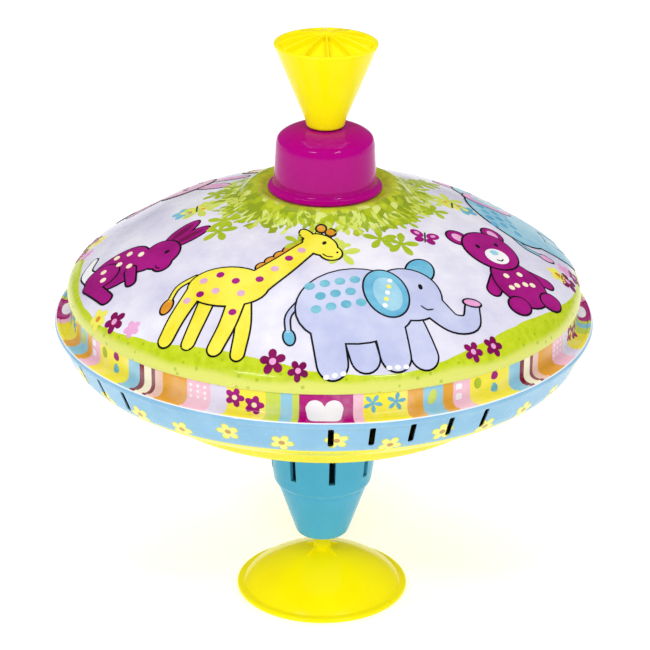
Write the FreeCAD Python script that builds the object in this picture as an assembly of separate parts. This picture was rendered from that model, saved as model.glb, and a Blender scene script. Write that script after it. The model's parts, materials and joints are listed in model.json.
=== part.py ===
"""Pump humming top: a hollow printed-tin top that spins on a foot and is driven by a twisted rod.

Millimetres, +Z up along the spin axis. The origin is the middle of the foot's underside, on the
surface that the top stands on. The front of the top faces -Y.
"""
import FreeCAD, Part
import math
import os
from FreeCAD import Vector

# ---- driving dimensions -------------------------------------------------------------------
RIM_R = 95.0            # widest radius of the top, at the rolled seam
TIN = 0.4               # sheet thickness of both shells
WALL = 1.5              # moulded plastic wall
FIT = 0.05              # radial clearance of pins and tubes in their bores
GAP = 0.4               # clearance between parts that turn past each other

# spin bearing
FOOT_R = 31.2
STEM_R = 3.25
STEM_TOP = 20.2
PIN_R = 1.5
PIN_TOP = 33.6
CLIP_Z = 30.7
CLIP_T = 0.8
CONE_BOTTOM = 20.95
BUSH_R = 3.0
BUSH_TOP = 30.0

# cone and the joint to the lower shell
TUBE_R = 4.95
TUBE_BORE = 4.0
TUBE_BOTTOM = 36.0
SOCKET_TOP = 42.0
FLANGE_Z = 72.5         # top of the cone's flange, where the lower shell sits
FLANGE_R = 25.6
FLANGE_T = 2.0
THROAT_R = 17.6         # air passage from the cone into the drum
CONE_SLOTS = 8
CONE_SLOT_W = 2.4
CONE_SLOT_Z = (49.0, 66.0)
CONE_SLOT_TURN = 10.6   # degrees from the front to the first slot
CONE_SCREW_R = 22.8     # pitch radius

# rim of the drum
SEAM_Z = 108.1          # height of the seam's widest point
RIM_SLOT_W = 2.0
RIM_SLOT_Z = (98.8, 107.0)
RIM_SLOT_STEP = 8.4     # degrees between neighbouring slots
RIM_SLOT_GROUPS = (1.6, 94.7, 187.7, 280.8)
RIM_SLOTS_PER_GROUP = 5
RIM_SLOT_IN_R = 84.0    # inside the wall, where the slot cutters start

# reed plate
PLATE_Z = 75.4
PLATE_T = 1.5
PLATE_R = 24.5
REEDS = 6
REED_T = 0.25
REED_W = 3.0
RIVET_R = 18.6          # pitch radius
RIVET_HOLE_R = 0.75
REED_SCREW_R = 21.6     # pitch radius
REED_SCREW_HOLE_R = 1.05

# cap and clutch
SHELL_TOP = 155.5       # outer face of the upper shell under the cap
SHELL_HOLE_R = 16.2
CAP_R = 20.0
CAP_TOP = 177.9
ROD_HOLE_R = 3.05
BOSS_R = 2.8
CAP_SCREW_R = 13.2      # pitch radius
CAP_RING_R = 19.5
CAP_RING_T = 2.5
CLUTCH_R = 9.0
TOOTH_H = 1.6
TEETH = 8
TOOTH_IN_R = 5.0
CLUTCH_BASE_T = 2.2
NUT_BODY_T = 5.9
WASHER_T = 0.9

# plunger
ROD_W = 5.0
ROD_T = 1.6
ROD_LEAD = 50.0         # height of one full twist
ROD_BOTTOM = 39.0
ROD_TOP = 192.0
SLOT_PLAY = 0.2         # clearance of the rod in the nut's slot
STOP_R = 3.6
STOP_Z = (38.5, 45.5)
KNOB_BOTTOM = 178.2
KNOB_R = 17.9
KNOB_RIM_Z = 208.0
KNOB_TOP = 212.0
KNOB_RIBS = 12

UP = Vector(0, 0, 1)
CENTRE = Vector(0, 0, 0)


# ---- helpers ------------------------------------------------------------------------------
def at(r, z):
    return Vector(r, 0, z)


def path(start, *steps):
    """Edges in the XZ plane. Two numbers are a straight run, four an arc through a middle
    point, and a list of points a smooth curve."""
    edges = []
    here = at(*start)
    for step in steps:
        if isinstance(step, list):
            points = [here] + [at(*p) for p in step]
            curve = Part.BSplineCurve()
            curve.interpolate(points)
            edges.append(curve.toShape())
            here = points[-1]
        elif len(step) == 4:
            end = at(step[2], step[3])
            edges.append(Part.Arc(here, at(step[0], step[1]), end).toShape())
            here = end
        else:
            end = at(*step)
            edges.append(Part.LineSegment(here, end).toShape())
            here = end
    return edges


def turned(start, *steps):
    """Solid of revolution about Z from a closed outline."""
    edges = path(start, *steps)
    last = edges[-1].valueAt(edges[-1].LastParameter)
    if (last - at(*start)).Length > 1e-6:
        edges.append(Part.LineSegment(last, at(*start)).toShape())
    face = Part.Face(Part.Wire(edges))
    return solid(face.revolve(CENTRE, UP, 360))


def shifted(edges, distance):
    """The same open outline moved sideways, edge by edge, with mitred corners."""
    def side(edge, u):
        tangent = edge.tangentAt(u)
        return Vector(-tangent.z, 0, tangent.x)

    normals = [side(edges[0], edges[0].FirstParameter)]
    for before, after in zip(edges, edges[1:]):
        a = side(before, before.LastParameter)
        b = side(after, after.FirstParameter)
        normals.append((a + b) * (1.0 / (1.0 + a.dot(b))))
    normals.append(side(edges[-1], edges[-1].LastParameter))
    moved = []
    for i, edge in enumerate(edges):
        first = edge.valueAt(edge.FirstParameter) + normals[i] * distance
        last = edge.valueAt(edge.LastParameter) + normals[i + 1] * distance
        if isinstance(edge.Curve, Part.BSplineCurve):
            inner = edge.Curve.getKnots()[1:-1]
        elif isinstance(edge.Curve, Part.Circle):
            inner = [(edge.FirstParameter + edge.LastParameter) / 2]
        else:
            inner = []
        middle = [edge.valueAt(u) + side(edge, u) * distance for u in inner]
        if len(middle) > 1 or isinstance(edge.Curve, Part.BSplineCurve):
            curve = Part.BSplineCurve()
            curve.interpolate([first] + middle + [last])
            moved.append(curve.toShape())
        elif middle:
            moved.append(Part.Arc(first, middle[0], last).toShape())
        else:
            moved.append(Part.LineSegment(first, last).toShape())
    return moved


def spun_sheet(thickness, start, *steps):
    """Pressed sheet: an open outline thickened to its left side, turned about Z."""
    outer = path(start, *steps)
    inner = shifted(outer, thickness)
    ends = []
    for u in ("FirstParameter", "LastParameter"):
        k = 0 if u == "FirstParameter" else -1
        a, b = outer[k], inner[k]
        ends.append(Part.LineSegment(a.valueAt(getattr(a, u)), b.valueAt(getattr(b, u))).toShape())
    wire = Part.Wire(Part.__sortEdges__(outer + inner + ends))
    return solid(Part.Face(wire).revolve(CENTRE, UP, 360))


def solid(shape):
    one = Part.Solid(shape.Shells[0]) if not shape.Solids else shape.Solids[0]
    if one.Volume < 0:
        one.reverse()
    return one


def ring(r_in, r_out, z0, z1):
    tube = Part.makeCylinder(r_out, z1 - z0, Vector(0, 0, z0))
    return tube.cut(Part.makeCylinder(r_in, z1 - z0, Vector(0, 0, z0)))


def post(r, z0, z1, x=0.0):
    return Part.makeCylinder(r, z1 - z0, Vector(x, 0, z0))


def block(x0, x1, width, z0, z1):
    """Box that runs along X, centred on Y = 0."""
    return Part.makeBox(x1 - x0, width, z1 - z0, Vector(x0, -width / 2, z0))


def around(shape, count, start=0.0, step=None):
    """Copies of a shape turned about Z. Angles are measured from the front, -Y, towards +X."""
    copies = []
    for i in range(count):
        copy = shape.copy()
        copy.rotate(CENTRE, UP, start - 90 + i * (step or 360.0 / count))
        copies.append(copy)
    return copies


def twisted_strip(width, thickness, z0, z1):
    """Flat bar twisted right-handed about Z, one turn every ROD_LEAD."""
    length = z1 - z0
    spine = Part.Wire(Part.LineSegment(Vector(0, 0, z0), Vector(0, 0, z1)).toShape())
    helix = Part.makeHelix(ROD_LEAD, length, width)
    helix.rotate(CENTRE, UP, 360.0 * z0 / ROD_LEAD)
    helix.translate(Vector(0, 0, z0))
    w, t = width / 2, thickness / 2
    corners = [Vector(w, t, z0), Vector(-w, t, z0), Vector(-w, -t, z0), Vector(w, -t, z0)]
    section = Part.makePolygon(corners + corners[:1])
    section.rotate(CENTRE, UP, 360.0 * z0 / ROD_LEAD)
    sweep = Part.BRepOffsetAPI.MakePipeShell(spine)
    sweep.setAuxiliarySpine(Part.Wire(helix), False, 0)
    sweep.add(section)
    sweep.build()
    sweep.makeSolid()
    return solid(sweep.shape())


def saw_teeth(direction, z_root):
    """Ring of ramped teeth that rise from z_root, up (+1) or down (-1)."""
    run = 2 * math.pi * CLUTCH_R / TEETH
    inner = TOOTH_IN_R - 0.1
    corners = [Vector(inner, 0, z_root), Vector(inner, run, z_root)]
    corners.append(Vector(inner, 0, z_root + direction * TOOTH_H))
    face = Part.Face(Part.makePolygon(corners + corners[:1]))
    tooth = face.extrude(Vector(CLUTCH_R, 0, 0))
    z0 = min(z_root, z_root + direction * TOOTH_H)
    annulus = ring(TOOTH_IN_R, CLUTCH_R, z0, z0 + TOOTH_H)
    sector = annulus.common(tooth)
    return around(sector, TEETH)


def pan_screw(r, z_head, length, head_r, head_h, sense):
    """Screw on Z: sense +1 drives upwards from a head below, -1 downwards from a head above."""
    shank = post(r, min(z_head, z_head + sense * length), max(z_head, z_head + sense * length))
    z_far = z_head - sense * head_h
    head = post(head_r, min(z_head, z_far), max(z_head, z_far))
    head = head.makeFillet(head_h * 0.35, [max(head.Edges, key=lambda e: -sense * e.CenterOfMass.z)])
    slot_w, slot_h = 0.5, 0.6
    z_slot = min(z_far, z_far + sense * slot_h)
    for turn in (0, 90):
        slot = block(-head_r * 0.7, head_r * 0.7, slot_w, z_slot, z_slot + slot_h)
        slot.rotate(CENTRE, UP, turn)
        head = head.cut(slot)
    return shank.fuse(head)


# ---- foot: what stands still ----------------------------------------------------------------
def foot():
    body = turned(
        (27.2, 0), (30.6, 0), (FOOT_R, 0.9, 30.5, 1.8), (28.8, 1.9),
        [(27.2, 3.7), (20.0, 8.7), (11.0, 12.7), (STEM_R, 14.4)],
        (STEM_R, STEM_TOP), (PIN_R, STEM_TOP), (PIN_R, 4.5), (0, 4.5), (0, 3.0), (4.8, 3.0),
        (4.8, 12.3), [(11.0, 10.9), (19.3, 7.0), (26.0, 2.1)])
    gusset = Part.Face(Part.makePolygon([at(3.0, 12.0), at(7.6, 13.0), at(7.4, 14.0),
                                         at(3.0, 16.4), at(3.0, 12.0)]))
    gusset = gusset.extrude(Vector(0, 1.1, 0))
    gusset.translate(Vector(0, -0.55, 0))
    body = body.fuse(around(gusset, 4, 45))
    rib = Part.Face(Part.makePolygon([at(4.5, 3.4), at(24.0, 1.6), at(25.6, 3.0), at(19.3, 7.6),
                                      at(11.0, 11.5), at(4.5, 12.8), at(4.5, 3.4)]))
    rib = rib.extrude(Vector(0, 1.0, 0))
    rib.translate(Vector(0, -0.5, 0))
    return body.fuse(around(rib, 8, 22.5)).removeSplitter()


def pivot_pin():
    groove_r = 1.1
    tip = 0.4
    return turned(
        (0, 4.6), (PIN_R, 4.6), (PIN_R, CLIP_Z - 0.05), (groove_r, CLIP_Z - 0.05),
        (groove_r, CLIP_Z + CLIP_T + 0.05), (PIN_R, CLIP_Z + CLIP_T + 0.05),
        (PIN_R, PIN_TOP - tip), (PIN_R - tip, PIN_TOP), (0, PIN_TOP))


def pin_clip():
    """Snap ring with an open side, in the pin's groove."""
    clip = ring(1.15, 3.4, CLIP_Z, CLIP_Z + CLIP_T)
    mouth = block(0, 4, 1.7, CLIP_Z, CLIP_Z + CLIP_T)
    return clip.cut(mouth)


def thrust_washer():
    return ring(PIN_R + FIT, BUSH_R, STEM_TOP, STEM_TOP + 0.55)


# ---- rotor: cone, drum, cap -----------------------------------------------------------------
def pivot_bush():
    return ring(PIN_R + FIT, BUSH_R, CONE_BOTTOM, BUSH_TOP)


def cone_housing():
    boss_r = TUBE_R + FIT + WALL
    flange_z = FLANGE_Z - FLANGE_T
    body = turned(
        (BUSH_R, CONE_BOTTOM), (3.9, CONE_BOTTOM), (8.2, 22.2), (9.25, 22.75, 9.75, 23.6),
        (16.1, 41.8), (16.25, 42.5, 16.9, 43.1), (17.45, 43.8, 17.8, 45.0), (18.5, 49.5),
        (19.7, 62.0), (20.2, flange_z), (FLANGE_R, flange_z), (FLANGE_R, FLANGE_Z),
        (THROAT_R, FLANGE_Z), (17.1, 50.5), (16.0, 45.2), (14.6, 42.4), (8.3, 25.0),
        (boss_r, 24.3), (boss_r, SOCKET_TOP), (TUBE_R + FIT, SOCKET_TOP),
        (TUBE_R + FIT, TUBE_BOTTOM), (TUBE_BORE, TUBE_BOTTOM), (TUBE_BORE, BUSH_TOP),
        (BUSH_R, BUSH_TOP))
    low, high = CONE_SLOT_Z
    slot = block(12.0, 23.0, CONE_SLOT_W, low, high)
    slots = around(slot, CONE_SLOTS, CONE_SLOT_TURN)
    holes = around(post(1.3, flange_z - 1, FLANGE_Z + 1, CONE_SCREW_R), 3, 30)
    web = block(boss_r - 0.3, 15.2, 1.2, 25.5, SOCKET_TOP - 1.0)
    web = web.common(Part.makeCone(8.4, 14.8, 17.4, Vector(0, 0, 25.0)))
    webs = around(web, 4, CONE_SLOT_TURN + 22.5)
    return body.fuse(webs).cut(slots + holes).removeSplitter()


def lock_ring():
    """Clamps the lower shell on the cone's flange."""
    body = ring(THROAT_R + 0.2, FLANGE_R, FLANGE_Z + TIN, PLATE_Z)
    holes = around(post(1.15, FLANGE_Z, PLATE_Z + 1, CONE_SCREW_R), 3, 30)
    holes += around(post(REED_SCREW_HOLE_R, FLANGE_Z, PLATE_Z + 1, REED_SCREW_R), 3, 90)
    return body.cut(holes)


def cone_screws():
    screw = pan_screw(1.1, FLANGE_Z - FLANGE_T, 4.7, 2.1, 1.3, 1)
    screw.translate(Vector(CONE_SCREW_R, 0, 0))
    return Part.makeCompound(around(screw, 3, 30))


def lower_shell():
    """Shallow printed-tin pan. Its edge is rolled over the upper shell's flange."""
    pan = spun_sheet(
        TIN, (THROAT_R, FLANGE_Z), (27.5, FLANGE_Z), (60.5, 78.9),
        [(63.6, 80.2), (66.2, 83.9), (69.0, 87.2), (73.0, 88.6), (78.0, 89.9), (83.0, 92.5)],
        (86.0, 94.5), (89.4, 97.5, 91.4, 101.2), (93.9, 106.8),
        (RIM_R, SEAM_Z, 94.2, 109.5), (93.3, 109.6))
    low, high = RIM_SLOT_Z
    end_r = RIM_SLOT_W / 2
    slot = block(RIM_SLOT_IN_R, RIM_R, RIM_SLOT_W, low + end_r, high - end_r)
    for z in (low + end_r, high - end_r):
        place = Vector(RIM_SLOT_IN_R, 0, z)
        slot = slot.fuse(Part.makeCylinder(end_r, RIM_R - RIM_SLOT_IN_R, place, Vector(1, 0, 0)))
    slots = []
    for first in RIM_SLOT_GROUPS:
        slots += around(slot, RIM_SLOTS_PER_GROUP, first, RIM_SLOT_STEP)
    holes = around(post(1.3, FLANGE_Z - 1, FLANGE_Z + 1, CONE_SCREW_R), 3, 30)
    return pan.cut(slots + holes)


def upper_shell():
    """Printed-tin dome with a raised ring round the cap and a flat flange at the seam."""
    return spun_sheet(
        -TIN, (SHELL_HOLE_R, SHELL_TOP), (20.6, SHELL_TOP),
        [(22.6, 156.5), (25.0, 156.9), (27.4, 155.7), (30.2, 152.9), (34.5, 150.9)],
        [(45.0, 147.9), (60.0, 142.1), (72.0, 135.2), (80.5, 130.0), (86.0, 126.0)],
        [(89.0, 122.6), (90.3, 119.3), (90.1, 117.6)],
        (89.3, 117.0), (89.3, 111.4), (89.8, 109.9, 91.2, 109.2), (93.9, 109.1))


def reed_plate():
    body = ring(TUBE_R + FIT, PLATE_R, PLATE_Z, PLATE_Z + PLATE_T)
    airway = block(8.2, 16.8, 2.2, PLATE_Z - 1, PLATE_Z + PLATE_T + 1)
    rivet_hole = post(RIVET_HOLE_R, PLATE_Z - 1, PLATE_Z + PLATE_T + 1, RIVET_R)
    holes = around(airway, REEDS) + around(rivet_hole, REEDS)
    screw_hole = post(REED_SCREW_HOLE_R, PLATE_Z - 1, PLATE_Z + PLATE_T + 1, REED_SCREW_R)
    holes += around(screw_hole, 3, 90)
    return body.cut(holes)


def reeds():
    """Thin brass tongues over the airways, fixed at their outer ends."""
    z = PLATE_Z + PLATE_T
    tongue = block(7.6, RIVET_R + 1.8, REED_W, z, z + REED_T)
    tongue = tongue.cut(post(RIVET_HOLE_R, z - 1, z + 1, RIVET_R))
    return Part.makeCompound(around(tongue, REEDS))


def reed_rivets():
    z = PLATE_Z + PLATE_T + REED_T
    shank = post(0.7, PLATE_Z, z, RIVET_R)
    head = post(1.3, z, z + 0.7, RIVET_R)
    return Part.makeCompound(around(shank.fuse(head), REEDS))


def reed_screws():
    screw = pan_screw(1.0, PLATE_Z + PLATE_T, 3.6, 1.9, 1.1, -1)
    screw.translate(Vector(REED_SCREW_R, 0, 0))
    return Part.makeCompound(around(screw, 3, 90))


def guide_tube():
    """Tin tube that holds cone and cap together and guides the rod's end stop."""
    flange_z = SHELL_TOP - TIN - CAP_RING_T
    tube = ring(TUBE_BORE, TUBE_R, TUBE_BOTTOM, SHELL_TOP - TIN)
    return tube.fuse(ring(TUBE_R - 0.2, 7.5, flange_z - 0.6, flange_z)).removeSplitter()


def cap_ring():
    """Ring under the dome that the cap is screwed to."""
    z1 = SHELL_TOP - TIN
    body = ring(TUBE_R + FIT, CAP_RING_R, z1 - CAP_RING_T, z1)
    return body.cut(around(post(1.25, z1 - 4, z1 + 1, CAP_SCREW_R), 3, 60))


def cap_screws():
    screw = pan_screw(1.2, SHELL_TOP - TIN - CAP_RING_T, 11.0, 2.4, 1.4, 1)
    screw.translate(Vector(CAP_SCREW_R, 0, 0))
    return Part.makeCompound(around(screw, 3, 60))


def cap():
    seat = clutch_levels()["cap_seat"]
    body = turned(
        (SHELL_HOLE_R, SHELL_TOP), (19.4, SHELL_TOP), (CAP_R, 156.2, 19.3, 156.95),
        (18.3, 157.5, 17.85, 159.2), (17.15, 172.0),
        [(16.5, 174.2), (14.3, 176.0), (11.0, 177.3), (7.4, 177.8)], (ROD_HOLE_R, CAP_TOP),
        (ROD_HOLE_R, seat), (9.4, seat), (9.4, 175.6),
        [(12.6, 174.6), (14.8, 173.2), (15.6, 171.4)], (SHELL_HOLE_R, 158.5))
    bosses = around(post(BOSS_R, SHELL_TOP, 167.5, CAP_SCREW_R), 3, 60)
    holes = around(post(1.25, SHELL_TOP - 1, 164.4, CAP_SCREW_R), 3, 60)
    return body.fuse(bosses).cut(holes).removeSplitter()


def clutch_levels():
    """Heights in the clutch stack, from the ring under the nut to the cap's seat above it."""
    ring_z = SHELL_TOP - TIN
    ring_top = ring_z + CLUTCH_BASE_T
    nut_z = ring_top + TOOTH_H + GAP + TOOTH_H
    washer_z = nut_z + NUT_BODY_T + GAP
    return {"ring": ring_z, "ring_top": ring_top, "nut": nut_z, "washer": washer_z,
            "cap_seat": washer_z + WASHER_T}


def clutch_ring():
    """Fixed half of the one-way clutch, teeth up."""
    z = clutch_levels()
    base = ring(ROD_HOLE_R + 0.15, CLUTCH_R, z["ring"], z["ring_top"])
    lug = block(CLUTCH_R - 0.5, 12.4, 4.0, z["ring"], z["ring"] + 1.4)
    return base.fuse(around(lug, 3) + saw_teeth(1, z["ring_top"])).removeSplitter()


def clutch_washer():
    z = clutch_levels()
    return ring(ROD_HOLE_R + 0.15, CLUTCH_R + 0.2, z["washer"], z["cap_seat"])


def drive_nut():
    """Turning half of the clutch: teeth down, with a twisted slot that the rod runs through."""
    z = clutch_levels()["nut"]
    body = ring(1.0, CLUTCH_R, z, z + NUT_BODY_T)
    body = body.fuse(Part.makeCylinder(1.5, NUT_BODY_T, Vector(0, 0, z)))
    body = body.fuse(saw_teeth(-1, z)).removeSplitter()
    play = 2 * SLOT_PLAY
    slot = twisted_strip(ROD_W + play, ROD_T + play, z - 4, z + NUT_BODY_T + 2)
    return body.cut(slot)


# ---- plunger: what is pumped up and down ----------------------------------------------------
def twisted_rod():
    return twisted_strip(ROD_W, ROD_T, ROD_BOTTOM, ROD_TOP)


def rod_end_stop():
    low, high = STOP_Z
    edge = 0.6
    body = turned(
        (0, low), (STOP_R - edge, low), (STOP_R, low + edge), (STOP_R, high - edge),
        (STOP_R - edge, high), (0, high))
    return body.cut(twisted_strip(ROD_W + FIT, ROD_T + FIT, ROD_BOTTOM, high + 2))


def knob():
    """Flared hand grip. Ribs run over its dished top from the rim to a central hub."""
    wall_r = KNOB_R - 1.3
    body = turned(
        (0, KNOB_BOTTOM), (5.4, KNOB_BOTTOM), (6.35, 178.5, 6.75, 179.4), (7.2, 181.0),
        (KNOB_R - 0.15, KNOB_RIM_Z - 0.8), (KNOB_R, KNOB_RIM_Z - 0.3, 17.5, KNOB_RIM_Z),
        (wall_r, KNOB_RIM_Z), (wall_r - 0.5, KNOB_RIM_Z - 2.2),
        [(10.0, 207.9), (4.2, 209.2), (2.4, 209.4)], (2.4, KNOB_TOP - 0.6),
        (1.8, KNOB_TOP), (0, KNOB_TOP))
    rib = Part.Face(Part.Wire(path(
        (1.5, 206.0), (wall_r + 0.3, 205.0), (wall_r + 0.3, KNOB_RIM_Z),
        [(10.0, 210.4), (1.5, KNOB_TOP - 0.5)], (1.5, 206.0))))
    rib = rib.extrude(Vector(0, 1.0, 0))
    rib.translate(Vector(0, -0.5, 0))
    body = body.fuse(around(rib, KNOB_RIBS, 2.6)).removeSplitter()
    return body.cut(twisted_strip(ROD_W + FIT, ROD_T + FIT, KNOB_BOTTOM - 2, ROD_TOP + FIT))


PARTS = {
    "foot": foot, "pivot_pin": pivot_pin, "pin_clip": pin_clip, "thrust_washer": thrust_washer,
    "pivot_bush": pivot_bush, "cone_housing": cone_housing, "lock_ring": lock_ring,
    "cone_screws": cone_screws, "lower_shell": lower_shell, "upper_shell": upper_shell,
    "reed_plate": reed_plate, "reeds": reeds, "reed_rivets": reed_rivets,
    "reed_screws": reed_screws, "guide_tube": guide_tube, "cap_ring": cap_ring,
    "cap_screws": cap_screws, "cap": cap, "clutch_ring": clutch_ring,
    "clutch_washer": clutch_washer, "drive_nut": drive_nut, "twisted_rod": twisted_rod,
    "rod_end_stop": rod_end_stop, "knob": knob,
}

os.makedirs("parts", exist_ok=True)
for name, make in PARTS.items():
    shape = make()
    shape.exportStep("parts/" + name + ".step")
    box = shape.optimalBoundingBox()
    print("%-14s %-5s solids %2d volume %10.1f  x %7.2f %7.2f  z %7.2f %7.2f" % (
        name, shape.isValid(), len(shape.Solids), shape.Volume, box.XMin, box.XMax,
        box.ZMin, box.ZMax))
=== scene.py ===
"""Looks of the pump humming top: smooth shells and mouldings, printed artwork, studio."""
import json
import math
import random

import bmesh
import bpy
import numpy as np
from mathutils import Matrix, Vector
from mathutils.geometry import delaunay_2d_cdt


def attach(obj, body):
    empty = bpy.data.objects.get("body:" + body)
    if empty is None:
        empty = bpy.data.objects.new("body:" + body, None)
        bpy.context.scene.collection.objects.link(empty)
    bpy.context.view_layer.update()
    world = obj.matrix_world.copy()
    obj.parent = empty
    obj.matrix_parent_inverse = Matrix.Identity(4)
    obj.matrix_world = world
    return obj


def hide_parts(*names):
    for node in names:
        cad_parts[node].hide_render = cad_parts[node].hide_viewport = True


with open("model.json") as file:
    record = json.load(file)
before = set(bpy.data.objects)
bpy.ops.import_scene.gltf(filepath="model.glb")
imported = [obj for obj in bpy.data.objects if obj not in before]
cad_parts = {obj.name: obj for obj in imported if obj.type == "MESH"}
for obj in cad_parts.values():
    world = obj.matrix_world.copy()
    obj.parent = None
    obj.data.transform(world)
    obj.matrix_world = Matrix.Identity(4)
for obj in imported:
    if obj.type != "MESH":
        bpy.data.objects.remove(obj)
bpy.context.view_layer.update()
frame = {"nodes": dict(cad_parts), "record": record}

MM = 0.001
NODES = frame["nodes"]


# ---- outlines -----------------------------------------------------------------------------
def spline(points, spacing=0.6, closed=False):
    """Centripetal Catmull-Rom curve through the points, sampled about every spacing."""
    p = np.array(points, float)
    if closed:
        p = np.vstack([p[-1], p, p[0], p[1]])
    else:
        p = np.vstack([2 * p[0] - p[1], p, 2 * p[-1] - p[-2]])
    out = []
    for a, b, c, d in zip(p, p[1:], p[2:], p[3:]):
        k0, k1, k2 = (max(np.linalg.norm(v), 1e-9) ** 0.5 for v in (b - a, c - b, d - c))
        m1 = (c - b) + k1 * ((b - a) / k0 - (c - a) / (k0 + k1))
        m2 = (c - b) + k1 * ((d - c) / k2 - (d - b) / (k1 + k2))
        n = max(2, int(np.linalg.norm(c - b) / spacing + 0.5))
        t = np.linspace(0, 1, n, endpoint=False)[:, None]
        out.append((2 * t**3 - 3 * t**2 + 1) * b + (t**3 - 2 * t**2 + t) * m1
                   + (-2 * t**3 + 3 * t**2) * c + (t**3 - t**2) * m2)
    if not closed:
        out.append(p[-2][None])
    return np.vstack(out)


def arc(a, m, b, spacing):
    """Circle arc from a to b through m, without its first point."""
    (ax, ay), (mx, my), (bx, by) = a, m, b
    d = 2 * (ax * (my - by) + mx * (by - ay) + bx * (ay - my))
    s = [q[0] ** 2 + q[1] ** 2 for q in (a, m, b)]
    cx = (s[0] * (my - by) + s[1] * (by - ay) + s[2] * (ay - my)) / d
    cy = (s[0] * (bx - mx) + s[1] * (ax - bx) + s[2] * (mx - ax)) / d
    r = math.hypot(ax - cx, ay - cy)
    t0, tm, t1 = (math.atan2(q[1] - cy, q[0] - cx) for q in (a, m, b))
    turn = (t1 - t0) % (2 * math.pi)
    if (tm - t0) % (2 * math.pi) > turn:
        turn -= 2 * math.pi
    n = max(3, int(abs(turn) * r / spacing + 0.5))
    t = t0 + turn * np.arange(1, n + 1) / n
    return np.stack([cx + r * np.cos(t), cy + r * np.sin(t)], 1)


def trace(start, *steps, spacing=0.8):
    """Points of an outline, in mm. Two numbers are a straight run, four an arc through a
    middle point, and a list a smooth curve."""
    out = [np.array([start], float)]
    for step in steps:
        here = out[-1][-1]
        if isinstance(step, list):
            out.append(spline([here] + step, spacing)[1:])
        elif len(step) == 4:
            out.append(arc(here, step[:2], step[2:], spacing))
        else:
            n = max(1, int(np.linalg.norm(np.array(step) - here) / (spacing * 3) + 0.5))
            t = np.arange(1, n + 1)[:, None] / n
            out.append(here + t * (np.array(step, float) - here))
    return np.vstack(out)


def inward(points, distance):
    """The same outline moved to its left by distance, point by point."""
    seg = np.diff(points, axis=0)
    seg /= np.linalg.norm(seg, axis=1)[:, None]
    left = np.stack([-seg[:, 1], seg[:, 0]], 1)
    a = np.vstack([left[:1], left])
    b = np.vstack([left, left[-1:]])
    miter = (a + b) / (1 + (a * b).sum(1))[:, None]
    return points + miter * distance


# ---- meshes -------------------------------------------------------------------------------
def new_object(name, verts, faces, materials=(), indices=None, sharp=35):
    mesh = bpy.data.meshes.new(name)
    mesh.from_pydata([tuple(v) for v in np.asarray(verts) * MM], [], [tuple(f) for f in faces])
    mesh.validate()
    for m in materials:
        mesh.materials.append(m)
    if indices is not None:
        mesh.polygons.foreach_set("material_index", np.asarray(indices, np.int32))
    mesh.shade_smooth()
    mesh.set_sharp_from_angle(angle=math.radians(sharp))
    mesh.update()
    obj = bpy.data.objects.new(name, mesh)
    bpy.context.scene.collection.objects.link(obj)
    return obj


def at(azimuth, r, z):
    """A point in mm: azimuth in degrees from the front, -Y, towards +X."""
    a = np.radians(azimuth)
    return np.stack(np.broadcast_arrays(r * np.sin(a), -r * np.cos(a), z), -1)


def revolve(outline, azimuths):
    """A closed outline turned about Z."""
    n, m = len(outline), len(azimuths)
    verts = at(np.array(azimuths)[:, None], outline[None, :, 0], outline[None, :, 1]).reshape(-1, 3)
    faces = []
    for j in range(m):
        k = (j + 1) % m
        for i in range(n):
            h = (i + 1) % n
            faces.append([j * n + i, k * n + i, k * n + h, j * n + h])
    return verts, faces


def even(count):
    """Azimuths evenly spaced round a full turn."""
    return list(np.arange(count) * 360.0 / count)


# ---- materials ----------------------------------------------------------------------------
def linear(rgb):
    c = [v / 255 for v in rgb]
    return [v / 12.92 if v <= 0.04045 else ((v + 0.055) / 1.055) ** 2.4 for v in c] + [1.0]


def printed(rgb, density=0.86):
    """A printed colour, which sends back less light than the varnished ground."""
    return [v * density for v in linear(rgb)[:3]] + [1.0]


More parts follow.
